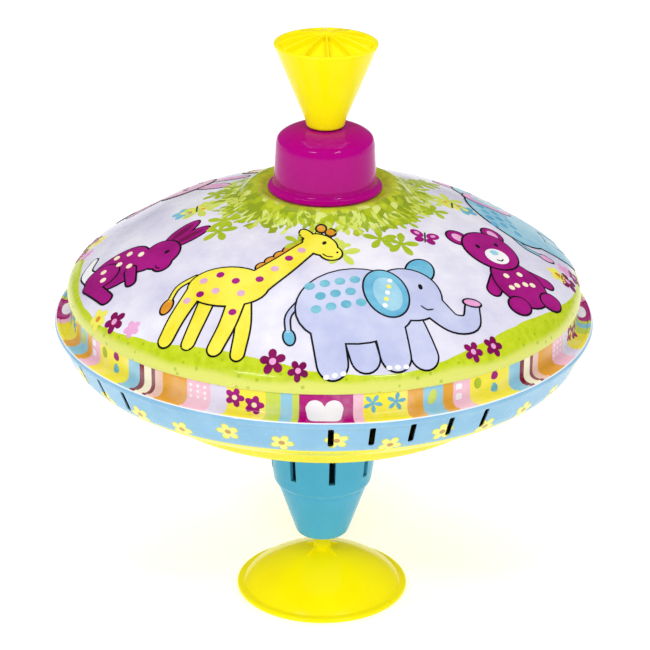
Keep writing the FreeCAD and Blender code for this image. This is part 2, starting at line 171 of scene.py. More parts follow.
class Shader:
    """Small helper for building a node material around one Principled shader."""

    def __init__(self, name, **settings):
        self.material = bpy.data.materials.new(name)
        self.material.use_nodes = True
        self.tree = self.material.node_tree
        self.tree.nodes.clear()
        self.bsdf = self.add("ShaderNodeBsdfPrincipled")
        out = self.add("ShaderNodeOutputMaterial")
        self.link(self.bsdf.outputs[0], out.inputs[0])
        self.coords = self.add("ShaderNodeTexCoord").outputs["Object"]
        for key, value in settings.items():
            self.bsdf.inputs[key.replace("_", " ").title().replace("Ior", "IOR")].default_value = value

    def add(self, kind, **props):
        node = self.tree.nodes.new(kind)
        for key, value in props.items():
            setattr(node, key, value)
        return node

    def link(self, a, b):
        self.tree.links.new(a, b)

    def math(self, op, a, b=0.0, c=0.0):
        node = self.add("ShaderNodeMath", operation=op)
        for socket, value in zip(node.inputs, (a, b, c)):
            if isinstance(value, (int, float)):
                socket.default_value = value
            else:
                self.link(value, socket)
        return node.outputs[0]

    def noise(self, scale, detail=3.0, rough=0.5, stretch=(1, 1, 1)):
        mapping = self.add("ShaderNodeMapping")
        mapping.inputs["Scale"].default_value = stretch
        self.link(self.coords, mapping.inputs[0])
        node = self.add("ShaderNodeTexNoise")
        node.inputs["Scale"].default_value = scale
        node.inputs["Detail"].default_value = detail
        node.inputs["Roughness"].default_value = rough
        self.link(mapping.outputs[0], node.inputs["Vector"])
        return node.outputs["Fac"]

    def ramp(self, value, stops, interpolation="LINEAR"):
        node = self.add("ShaderNodeValToRGB")
        node.color_ramp.interpolation = interpolation
        elements = node.color_ramp.elements
        while len(elements) < len(stops):
            elements.new(1.0)
        for element, (place, colour) in zip(elements, stops):
            element.position = place
            element.color = colour
        self.link(value, node.inputs[0])
        return node.outputs[0]

    def step(self, value, low, high):
        """0 below low, 1 above high."""
        node = self.add("ShaderNodeMapRange", interpolation_type="SMOOTHSTEP")
        self.link(value, node.inputs[0])
        node.inputs[1].default_value = low
        node.inputs[2].default_value = high
        return node.outputs[0]

    def mix(self, fac, a, b, blend="MIX"):
        node = self.add("ShaderNodeMix", data_type="RGBA", blend_type=blend)
        for socket, value in ((node.inputs[0], fac), (node.inputs[6], a), (node.inputs[7], b)):
            if isinstance(value, (int, float, list, tuple)):
                socket.default_value = value
            else:
                self.link(value, socket)
        return node.outputs[2]

    def colour(self, source):
        self.link(source, self.bsdf.inputs["Base Color"])

    def roughness(self, source, low, high):
        node = self.add("ShaderNodeMapRange")
        self.link(source, node.inputs[0])
        node.inputs[3].default_value = low
        node.inputs[4].default_value = high
        self.link(node.outputs[0], self.bsdf.inputs["Roughness"])

    def bump(self, height, strength, distance):
        node = self.add("ShaderNodeBump")
        node.inputs["Strength"].default_value = strength
        node.inputs["Distance"].default_value = distance
        self.link(height, node.inputs["Height"])
        self.link(node.outputs[0], self.bsdf.inputs["Normal"])

    def polar(self):
        """Radius and azimuth (turns from the front) of the shaded point, and its height."""
        split = self.add("ShaderNodeSeparateXYZ")
        self.link(self.coords, split.inputs[0])
        x, y, z = split.outputs
        r = self.math("SQRT", self.math("ADD", self.math("MULTIPLY", x, x), self.math("MULTIPLY", y, y)))
        turn = self.math("ARCTAN2", x, self.math("MULTIPLY", y, -1.0))
        return r, self.math("DIVIDE", turn, 2 * math.pi), z


def plastic(name, main, deep, rough=0.22, coat=0.5, grain=900.0):
    """Moulded plastic: faint flow marks in its colour, fine grain in its surface."""
    s = Shader(name, coat_weight=coat, coat_roughness=0.03, specular_ior_level=0.1)
    flow = s.noise(38.0, 4.0, 0.6, (1, 1, 0.35))
    fine = s.noise(grain, 2.0)
    tone = s.ramp(flow, [(0.3, linear(deep)), (0.62, linear(main))])
    s.colour(tone)
    s.roughness(fine, rough * 0.85, rough * 1.15)
    s.bump(flow, 0.05, 0.0004)
    return s.material


def metal(name, main, deep, rough, stretch=(1, 1, 1), scale=400.0):
    """Bare metal with drawn or turned marks."""
    s = Shader(name, metallic=1.0)
    marks = s.noise(scale, 4.0, 0.65, stretch)
    s.colour(s.ramp(marks, [(0.3, linear(deep)), (0.7, linear(main))]))
    s.roughness(marks, rough * 0.7, rough * 1.4)
    s.bump(marks, 0.12, 0.0001)
    return s.material


def paint(name, main, other, scale=55.0, rough=0.3):
    """Printing ink under varnish, with uneven washes of two tones."""
    s = Shader(name, coat_weight=0.06, coat_roughness=0.05, specular_ior_level=0.12)
    wash = s.noise(scale, 5.0, 0.62)
    tone = s.ramp(wash, [(0.38, printed(other)), (0.6, printed(main))])
    s.colour(tone)
    s.roughness(s.noise(600.0, 2.0), rough * 0.8, rough * 1.2)
    return s.material


# ---- skins: the printed sheets' outer faces --------------------------------------------------
class Skin:
    """The outer face of a turned sheet, measured by azimuth and by run along its outline."""

    def __init__(self, outline, side):
        self.points = outline
        self.side = side
        step = np.linalg.norm(np.diff(outline, axis=0), axis=1)
        self.run = np.concatenate([[0.0], np.cumsum(step)])
        slope = np.gradient(outline, self.run, axis=0)
        self.normal = side * np.stack([-slope[:, 1], slope[:, 0]], 1)

    def place(self, azimuth, run, lift):
        r, z, nr, nz = (np.interp(run, self.run, c) for c in (*self.points.T, *self.normal.T))
        size = np.hypot(nr, nz)
        return at(azimuth, r + lift * nr / size, z + lift * nz / size)

    def run_at(self, r=None, z=None):
        """The run where the outline first reaches a radius or a height."""
        column, value = (0, r) if z is None else (1, z)
        gap = self.points[:, column] - value
        i = int(np.argmax(gap[:-1] * gap[1:] <= 0))
        share = gap[i] / (gap[i] - gap[i + 1]) if gap[i] != gap[i + 1] else 0.0
        return self.run[i] + share * (self.run[i + 1] - self.run[i])

    def radius(self, run):
        return float(np.interp(run, self.run, self.points[:, 0]))


TIN = 0.4
UPPER = trace((16.2, 155.5), (20.6, 155.5),
              [(22.6, 156.5), (25.0, 156.9), (27.4, 155.7), (30.2, 152.9), (34.5, 150.9)],
              [(45.0, 147.9), (60.0, 142.1), (72.0, 135.2), (80.5, 130.0), (86.0, 126.0)],
              [(89.0, 122.6), (90.3, 119.3), (90.1, 117.6)], (89.3, 117.0), (89.3, 111.4),
              (89.8, 109.9, 91.2, 109.2), (93.9, 109.1))
LOWER = trace((17.6, 72.5), (27.5, 72.5), (60.5, 78.9),
              [(63.6, 80.2), (66.2, 83.9), (69.0, 87.2), (73.0, 88.6), (78.0, 89.9), (83.0, 92.5)],
              (86.0, 94.5), (89.4, 97.5, 91.4, 101.2), (93.9, 106.8), (95.0, 108.1, 94.2, 109.5),
              (93.3, 109.6))
DOME = Skin(UPPER, 1)
PAN = Skin(LOWER, -1)
DOME_START = DOME.run_at(r=20.0)
PLAN_START = 20.0


def dome_plan(points, lift):
    """Flat artwork on the dome: a point's distance from the axis is its run along the dome."""
    x, y = np.asarray(points, float).T
    return DOME.place(np.degrees(np.arctan2(x, -y)), np.hypot(x, y) - PLAN_START + DOME_START, lift)


def dome_patch(azimuth, z):
    """Flat artwork round one spot of the dome's skin: right, and up the outline, in mm."""
    run = DOME.run_at(z=z)
    r = DOME.radius(run)

    def put(points, lift):
        x, y = np.asarray(points, float).T
        return DOME.place(azimuth + np.degrees(x / r), run - y, lift)
    return put


def sheet(skin):
    """Both faces of a tin sheet as one closed outline, row i of the outside facing its twin."""
    return np.vstack([skin.points, inward(skin.points, -skin.side * TIN)[::-1]])


def slot_rows(skin, low, high, half):
    """Runs of the grid's rows, with each row's half width of the slot, and the slot's end rows."""
    a, b = skin.run_at(z=low), skin.run_at(z=high)
    ends = [half * (1 - math.cos(math.radians(t))) for t in (30, 60, 90)]
    marks = [a] + [a + e for e in ends] + list(np.linspace(a + half, b - half, 6)[1:-1])
    marks += [b - e for e in ends[::-1]] + [b]
    rows = sorted([t for t in skin.run if not a - 0.3 < t < b + 0.3] + marks)
    first, last = rows.index(a), rows.index(b)
    spread = np.full(len(rows), half)
    for i in range(first + 1, last):
        edge = min(rows[i] - a, b - rows[i], half)
        spread[i] = math.sqrt(max(half ** 2 - (half - edge) ** 2, 0))
    spread[first] = spread[last] = 0.3 * half
    return rows, spread, first, last


def slot_columns(azimuths, slots, half):
    """Azimuths of the grid's columns. Each slot has three: its sides, -1 and 1, and its middle."""
    room = math.degrees(half / 90) * 1.35
    columns = []
    for t in azimuths:
        if all(abs((t - s + 180) % 360 - 180) > room for s in slots):
            columns.append((t, 0))
    for s in slots:
        columns += [(s, -1), (s, 0), (s, 1)]
    return sorted(columns, key=lambda c: (c[0] % 360, c[1]))


def slot_faces(starts, n, m, first, last):
    """Both skins with windows in them, the sheet's two cut edges, and the walls of the slots."""
    back = n * m
    faces = []
    for j in range(m):
        k = (j + 1) % m
        window = j in starts or (j - 1) in starts
        for i in range(n - 1):
            if window and first <= i < last:
                continue
            for base in (0, back):
                u, v = base + j * n + i, base + k * n + i
                faces.append([u, v, v + 1, u + 1])
        for i in (0, n - 1):
            u, v = j * n + i, k * n + i
            faces.append([u, v, back + v, back + u])
    for j in starts:
        mid, right = (j + 1) % m, (j + 2) % m
        for column in (j, right):
            for i in range(first, last):
                v = column * n + i
                faces.append([v, v + 1, back + v + 1, back + v])
        for i in (first, last):
            for p, q in ((j, mid), (mid, right)):
                u, v = p * n + i, q * n + i
                faces.append([u, v, back + v, back + u])
    return faces


def slotted(name, skin, azimuths, slots, low, high, width, material):
    """A turned sheet with upright slots with round ends. Their edges are grid columns."""
    half = width / 2
    rows, spread, first, last = slot_rows(skin, low, high, half)
    columns = slot_columns(azimuths, slots, half)
    dip = np.zeros(len(rows))
    dip[first], dip[last] = half * 0.05, -half * 0.05
    run = np.array(rows)
    radius = np.interp(run, skin.run, skin.points[:, 0])
    verts = []
    for face in (skin.points, inward(skin.points, -skin.side * TIN)):
        for s, side in columns:
            t = run + dip * abs(side)
            verts.append(at(s + np.degrees(side * spread / radius),
                            np.interp(t, skin.run, face[:, 0]), np.interp(t, skin.run, face[:, 1])))
    starts = [i for i, c in enumerate(columns) if c[1] == -1]
    faces = slot_faces(starts, len(rows), len(columns), first, last)
    return closed_object(name, np.vstack(verts), faces, [material])


def closed_object(name, verts, faces, materials, indices=None, sharp=35):
    """A new object whose faces all look outwards."""
    obj = new_object(name, verts, faces, materials, indices, sharp)
    mesh = bmesh.new()
    mesh.from_mesh(obj.data)
    bmesh.ops.recalc_face_normals(mesh, faces=mesh.faces)
    mesh.to_mesh(obj.data)
    mesh.free()
    return obj


# ---- printed tin --------------------------------------------------------------------------
def fraction(s, value):
    node = s.add("ShaderNodeMath", operation="FRACT")
    s.link(value, node.inputs[0])
    return node.outputs[0]


MAGENTA_INK = (182, 2, 124)
PINK_INK = (246, 196, 214)
YELLOW_INK = (250, 236, 70)
ORANGE_INK = (232, 168, 52)
SKY_INK = (150, 205, 228)
RED_INK = (132, 18, 44)
CREAM_INK = (252, 246, 214)
BLUSH_INK = (240, 205, 190)
LILAC_INK = (228, 222, 240)
LIME_INK = (206, 222, 84)
SUN_INK = (250, 236, 60)
STRIPES = ((-6.4, LIME_INK), (-5.3, MAGENTA_INK), (6.0, PINK_INK), (8.1, SUN_INK), (17.8, ORANGE_INK),
           (21.1, SKY_INK), (25.7, ORANGE_INK), (28.4, PINK_INK), (32.4, YELLOW_INK), (43.3, SKY_INK),
           (46.9, RED_INK), (48.3, CREAM_INK), (50.5, RED_INK), (51.4, BLUSH_INK), (53.4, ORANGE_INK),
           (59.9, PINK_INK), (65.4, LILAC_INK), (69.4, YELLOW_INK), (77.7, LIME_INK), (80.8, SKY_INK))
STRIPE_TURN = 90.0
GRASS_Z = 0.1252
GRASS_WAVES = 5
GRASS_PHASE = math.radians(65)
BAND_Z = 0.1174
CANOPY_R = 0.0315
BAND_FLOWERS = 32
BAND_HEIGHTS = (101.8, 98.6, 101.2, 98.4, 99.2, 98.8, 102.4, 100.2)


def stripes(s, turn):
    """The rim's upright stripes, a quarter turn of them repeated."""
    quarter = fraction(s, s.math("MULTIPLY_ADD", turn, 360 / STRIPE_TURN, -STRIPES[0][0] / STRIPE_TURN))
    stops = [((a - STRIPES[0][0]) / STRIPE_TURN, printed(c)) for a, c in STRIPES]
    band = s.ramp(quarter, stops, "CONSTANT")
    streak = s.noise(120.0, 3.0, 0.5)
    return s.mix(s.math("MULTIPLY", s.step(streak, 0.45, 0.7), 0.12), band, [1, 1, 1, 1])


def tin_upper():
    """The dome's print: leaf canopy round the cap, pale ground, grass ring and striped rim, with a
    painted highlight along the grass ring's lower edge.
    """
    s = Shader("printed_tin_upper", coat_weight=0.1, coat_roughness=0.05, specular_ior_level=0.15)
    r, turn, z = s.polar()
    wash = s.noise(45.0, 5.0, 0.6)
    ground = s.ramp(wash, [(0.32, printed((208, 206, 230))), (0.5, printed((226, 223, 240))),
                           (0.66, printed((240, 238, 248)))])
    # grass, with a paler painted highlight band along its foot
    blade = s.noise(420.0, 2.0, 0.5, (1, 1, 0.4))
    sway = s.math("COSINE", s.math("MULTIPLY_ADD", turn, 2 * math.pi * GRASS_WAVES, -GRASS_PHASE))
    edge = s.math("MULTIPLY_ADD", s.noise(90.0, 2.0), 0.0016, GRASS_Z - 0.0008)
    edge = s.math("MULTIPLY_ADD", sway, -0.0021, edge)
    grass = s.ramp(blade, [(0.3, printed((184, 204, 22))), (0.5, printed((196, 214, 30))),
                           (0.7, printed((206, 220, 46)))])
    # painted highlight: below about z 120 mm the grass turns paler all round. This stands in for the
    # lamps' sheen on the shoulder's roll.
    low = s.math("MULTIPLY_ADD", s.noise(60.0, 2.0), 0.003, 0.1202)
    pale = s.step(s.math("SUBTRACT", low, z), -0.0010, 0.0014)
    grass = s.mix(pale, grass, printed((224, 228, 112)))
    specks = s.add("ShaderNodeTexVoronoi")
    specks.inputs["Scale"].default_value = 260.0
    s.link(s.coords, specks.inputs["Vector"])
    dark = s.math("MULTIPLY", s.math("LESS_THAN", specks.outputs["Distance"], 0.17), 0.55)
    grass = s.mix(dark, grass, printed((150, 178, 20)))
    colour = s.mix(s.step(s.math("SUBTRACT", edge, z), -0.00008, 0.00008), ground, grass)
    # canopy: leaf-sized cells, each kept or dropped whole by where its middle is
    cells = s.add("ShaderNodeTexVoronoi")
    cells.inputs["Scale"].default_value = 330.0
    s.link(s.coords, cells.inputs["Vector"])
    centre = s.add("ShaderNodeSeparateXYZ")
    s.link(cells.outputs["Position"], centre.inputs[0])
    cx, cy = centre.outputs[0], centre.outputs[1]
    across = s.math("MULTIPLY", cx, cx)
    cell_r = s.math("SQRT", s.math("ADD", across, s.math("MULTIPLY", cy, cy)))
    side = s.math("DIVIDE", across, s.math("MULTIPLY", cell_r, cell_r))
    tint = s.add("ShaderNodeSeparateColor")
    s.link(cells.outputs["Color"], tint.inputs[0])
    reach = s.math("MULTIPLY_ADD", tint.outputs[0], 0.006, CANOPY_R - 0.003)
    reach = s.math("MULTIPLY_ADD", side, 0.0045, reach)
    leaf = s.ramp(tint.outputs[1], [(0.0, printed((150, 168, 30))), (0.3, printed((178, 194, 30))),
                                    (0.6, printed((196, 208, 44))), (0.85, printed((222, 230, 128)))],
                  "CONSTANT")
    leaf = s.mix(s.math("MULTIPLY", s.step(cells.outputs["Distance"], 0.45, 0.75), 0.4), leaf,
                 printed((140, 164, 36)))
    colour = s.mix(s.math("LESS_THAN", cell_r, reach), colour, leaf)
    near = s.math("MULTIPLY_ADD", s.noise(150.0, 3.0), 0.005, 0.0225)
    lime = s.ramp(blade, [(0.35, printed((184, 198, 34))), (0.65, printed((208, 218, 48)))])
    lit = s.math("MULTIPLY", s.step(s.math("SUBTRACT", near, r), -0.001, 0.001), 0.8)
    colour = s.mix(lit, colour, lime)
    band = stripes(s, turn)
    colour = s.mix(s.step(z, BAND_Z - 0.00005, BAND_Z + 0.00005), band, colour)
    s.colour(colour)
    s.roughness(s.noise(300.0, 3.0), 0.2, 0.32)
    s.bump(s.noise(70.0, 2.0), 0.04, 0.0008)
    return s.material


def tin_lower():
    """The pan's print: stripes on its hem, a blue band with pale flowers, a yellow underside, and a
    painted highlight line along the seam.
    """
    s = Shader("printed_tin_lower", coat_weight=0.1, coat_roughness=0.05, specular_ior_level=0.15)
    r, turn, z = s.polar()
    wash = s.noise(60.0, 4.0, 0.6)
    blue = s.ramp(wash, [(0.3, printed((132, 184, 218))), (0.7, printed((152, 200, 230)))])
    cell = s.math("MULTIPLY_ADD", turn, BAND_FLOWERS, 40.25)
    part = fraction(s, cell)
    whole = s.math("SUBTRACT", cell, part)
    across = s.math("MULTIPLY", s.math("SUBTRACT", part, 0.5), 2 * math.pi / BAND_FLOWERS)
    u = s.math("MULTIPLY", across, r)
    count = len(BAND_HEIGHTS)
    kind = fraction(s, s.math("MULTIPLY_ADD", whole, 1 / count, 0.5 / count))
    low, high = min(BAND_HEIGHTS), max(BAND_HEIGHTS)
    stops = []
    for i, height in enumerate(BAND_HEIGHTS):
        share = (height - low) / (high - low)
        stops.append((i / count, (share, share, share, 1.0)))
    share = s.add("ShaderNodeSeparateColor")
    s.link(s.ramp(kind, stops, "CONSTANT"), share.inputs[0])
    centre = s.math("MULTIPLY_ADD", share.outputs[0], (high - low) * MM, low * MM)
    v = s.math("MULTIPLY", s.math("SUBTRACT", z, centre), 1.15)
    reach = s.math("SQRT", s.math("ADD", s.math("MULTIPLY", u, u), s.math("MULTIPLY", v, v)))
    angle = s.math("MULTIPLY_ADD", s.math("ARCTAN2", v, u), 2.5, s.math("MULTIPLY", whole, 1.7))
    lobe = s.math("POWER", s.math("ABSOLUTE", s.math("COSINE", angle)), 0.6)
    edge = s.math("MULTIPLY_ADD", lobe, 0.0026, 0.0016)
    petals = s.step(s.math("SUBTRACT", edge, reach), -0.00012, 0.00008)
    rim = s.step(s.math("SUBTRACT", edge, reach), 0.0002, 0.0006)
    pale = s.mix(rim, printed((196, 204, 90)), printed((250, 244, 130)))
    heart = s.step(reach, 0.0009, 0.0013)
    flower = s.mix(heart, printed((196, 158, 96)), pale)
    blue = s.mix(petals, blue, flower)
    under = s.ramp(wash, [(0.3, printed((238, 228, 40))), (0.7, printed((248, 240, 66)))])
    colour = s.mix(s.step(z, 0.09655, 0.09665), under, blue)
    # painted highlight: a thin near-white line just under the seam, between the blue band and the
    # stripes. It stands in for the lamps' glint on the rolled hem.
    colour = s.mix(s.step(z, 0.10905, 0.1091), colour, printed((240, 244, 248)))
    s.colour(s.mix(s.step(z, 0.10936, 0.10942), colour, stripes(s, turn)))
    s.roughness(s.noise(300.0, 3.0), 0.2, 0.32)
    s.bump(s.noise(70.0, 2.0), 0.04, 0.0008)
    return s.material


# ---- the shells, cap and knob ---------------------------------------------------------------
UPPER_TIN = tin_upper()
LOWER_TIN = tin_lower()
YELLOW = plastic("yellow_moulding", (247, 233, 8), (243, 226, 2), 0.18, 0.12)
MAGENTA = plastic("magenta_moulding", (176, 0, 128), (169, 0, 122), 0.12, 0.08)
BLUE = plastic("blue_moulding", (78, 172, 214), (70, 166, 208), 0.22, 0.12)
WHITE = plastic("white_moulding", (236, 236, 228), (222, 222, 214), 0.3, 0.2)
STEEL = metal("bright_steel", (190, 192, 196), (140, 142, 146), 0.3, (1, 1, 8))
BRASS = metal("rolled_brass", (222, 186, 110), (186, 148, 74), 0.26, (8, 1, 1))

dome = closed_object("dome", *revolve(sheet(DOME), even(320)), [UPPER_TIN])
RIM_SLOTS = [start + 8.4 * i for start in (1.6, 94.7, 187.7, 280.8) for i in range(5)]
pan = slotted("pan", PAN, even(320), RIM_SLOTS, 98.8, 107.0, 2.0, LOWER_TIN)

CAP_LINE = trace((16.2, 155.5), (19.4, 155.5), (20.0, 156.2, 19.3, 156.95), (18.3, 157.5, 17.85, 159.2),
                 (17.15, 172.0), [(16.5, 174.2), (14.3, 176.0), (11.0, 177.3), (7.4, 177.8)],
                 (3.05, 177.9), (3.05, 168.1), (13.4, 168.1), (14.6, 166.9, 15.1, 165.6),
                 (16.2, 155.5), spacing=0.5)[:-1]
cap = closed_object("cap_shell", *revolve(CAP_LINE, even(192)), [MAGENTA])


def knob_top(ribs=12, first=2.6, rings=46, columns=576):
    """The knob: a flared wall, rounded lip, and a domed top with soft ribs round a small hub."""
    wall = trace((0.0, 178.2), (5.4, 178.2), (6.35, 178.5, 6.75, 179.4), (7.2, 181.0), (17.75, 207.2),
                 (17.9, 207.7, 17.5, 208.0), (16.6, 208.0), spacing=0.5)
    radii = np.linspace(16.4, 0.0, rings)
    azimuths = np.array(even(columns))
    offset = (azimuths - first + 180 / ribs) % (360 / ribs) - 180 / ribs
    verts = [at(azimuths, r, z) for r, z in wall[1:]]
    for r in radii[:-1]:
        floor = np.interp(r, (2.4, 4.2, 10.0, 16.1), (209.4, 209.2, 207.9, 205.8))
        crest = np.interp(r, (2.4, 6.0, 10.0, 14.0, 16.9), (211.4, 211.0, 210.3, 209.2, 208.0))
        across = np.abs(np.radians(offset) * r)
        rib = 1 / (1 + np.exp((across - 0.5) / 0.09))
        z = floor + (crest - floor) * rib
        hub = 1 / (1 + np.exp((r - 2.2) / 0.08))
        z = z * (1 - hub) + hub * (212.0 - 0.35 * (r / 2.2) ** 4)
        lip = 1 / (1 + np.exp((15.95 - r) / 0.07))
        z = z * (1 - lip) + lip * np.maximum(z, 207.98)
        verts.append(at(azimuths, r, z))
    rows = len(verts)
    verts = np.vstack(verts + [np.array([[0.0, 0.0, 178.2], [0.0, 0.0, 212.0]])])
    faces = []
    for i in range(rows - 1):
        for j in range(columns):
            k = (j + 1) % columns
            faces.append([i * columns + j, i * columns + k, (i + 1) * columns + k, (i + 1) * columns + j])
    base, tip = rows * columns, rows * columns + 1
    for j in range(columns):
        k = (j + 1) % columns
        faces.append([base, k, j])
        faces.append([tip, (rows - 1) * columns + j, (rows - 1) * columns + k])
    return closed_object("knob_grip", verts, faces, [YELLOW], sharp=50)


knob = knob_top()

for piece, node, body, slot in ((dome, "upper_shell", "rotor", "printed_tin_upper"),
                                (pan, "lower_shell", "rotor", "printed_tin_lower"),
                                (cap, "cap", "rotor", "magenta_plastic"),
                                (knob, "knob", "plunger", "yellow_plastic")):
    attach(piece, body)
    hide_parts(node)

SLOT_LOOKS = {"yellow_plastic": YELLOW, "magenta_plastic": MAGENTA, "blue_plastic": BLUE,
              "white_plastic": WHITE, "steel": STEEL, "brass": BRASS,
              "printed_tin_upper": UPPER_TIN, "printed_tin_lower": LOWER_TIN}
for row in frame["record"]["subparts"]:
    obj = NODES[row["node"]]
    look = SLOT_LOOKS[row["material_slot"]]
    for slot in obj.material_slots:
        slot.material = look
    obj.data.shade_smooth()
    obj.data.set_sharp_from_angle(angle=math.radians(28))


# ---- printed artwork ------------------------------------------------------------------------
INKS = {
    "line": paint("ink_line", (6, 5, 14), (14, 12, 24), 200.0, 0.35),
    "yellow": paint("ink_yellow", (248, 238, 84), (242, 226, 50), 90.0),
    "orange": paint("ink_orange", (232, 160, 50), (216, 138, 34), 120.0),
    "peach": paint("ink_peach", (250, 226, 188), (242, 206, 160), 120.0),
    "lilac": paint("ink_lilac", (206, 210, 238), (188, 194, 230), 60.0),
    "blue": paint("ink_blue", (118, 192, 220), (88, 168, 208), 80.0),
    "teal": paint("ink_teal", (96, 176, 200), (130, 198, 216), 120.0),
    "sky": paint("ink_sky", (168, 214, 232), (140, 198, 224), 80.0),
    "magenta": paint("ink_magenta", (172, 16, 132), (152, 4, 116), 90.0),
    "wine": paint("ink_wine", (140, 10, 92), (118, 4, 76), 90.0),
    "pink": paint("ink_pink", (240, 178, 220), (228, 150, 206), 120.0),
    "rose": paint("ink_rose", (222, 168, 200), (232, 190, 214), 120.0),
    "white": paint("ink_white", (252, 251, 250), (240, 240, 246), 120.0),
    "cream": paint("ink_cream", (252, 244, 214), (248, 234, 190), 120.0),
    "green": paint("ink_green", (164, 188, 26), (186, 204, 46), 110.0),
    "pale_green": paint("ink_pale_green", (204, 218, 84), (216, 228, 110), 110.0),
    "moss": paint("ink_moss", (140, 164, 34), (160, 184, 44), 140.0),
    "bud_green": paint("ink_bud_green", (226, 236, 150), (214, 228, 120), 110.0),
    "bud": paint("ink_bud", (246, 240, 110), (242, 232, 84), 140.0),
    "brown": paint("ink_brown", (150, 112, 66), (172, 134, 84), 140.0),
}
INK_NAMES = list(INKS)
LAYER = 0.045
SUNK = 0.08


def resample(outline, spacing):
    """A closed outline with points about every spacing along it."""
    p = np.array(outline, float)
    p = np.vstack([p, p[:1]])
    step = np.linalg.norm(np.diff(p, axis=0), axis=1)
    run = np.concatenate([[0.0], np.cumsum(step)])
    n = max(4, int(run[-1] / spacing + 0.5))
    t = np.linspace(0, run[-1], n + 1)[:-1]
    return np.stack([np.interp(t, run, p[:, 0]), np.interp(t, run, p[:, 1])], 1)


def covers(polygon, points):
    """Which points lie inside a closed polygon, by counting edges to their right."""
    x, y = points[:, 0][:, None], points[:, 1][:, None]
    a, b = polygon, np.roll(polygon, -1, axis=0)
    crosses = (a[:, 1] > y) != (b[:, 1] > y)
    with np.errstate(divide="ignore", invalid="ignore"):
        at_x = a[:, 0] + (y - a[:, 1]) * (b[:, 0] - a[:, 0]) / (b[:, 1] - a[:, 1])
    return (crosses & (x < at_x)).sum(1) % 2 == 1


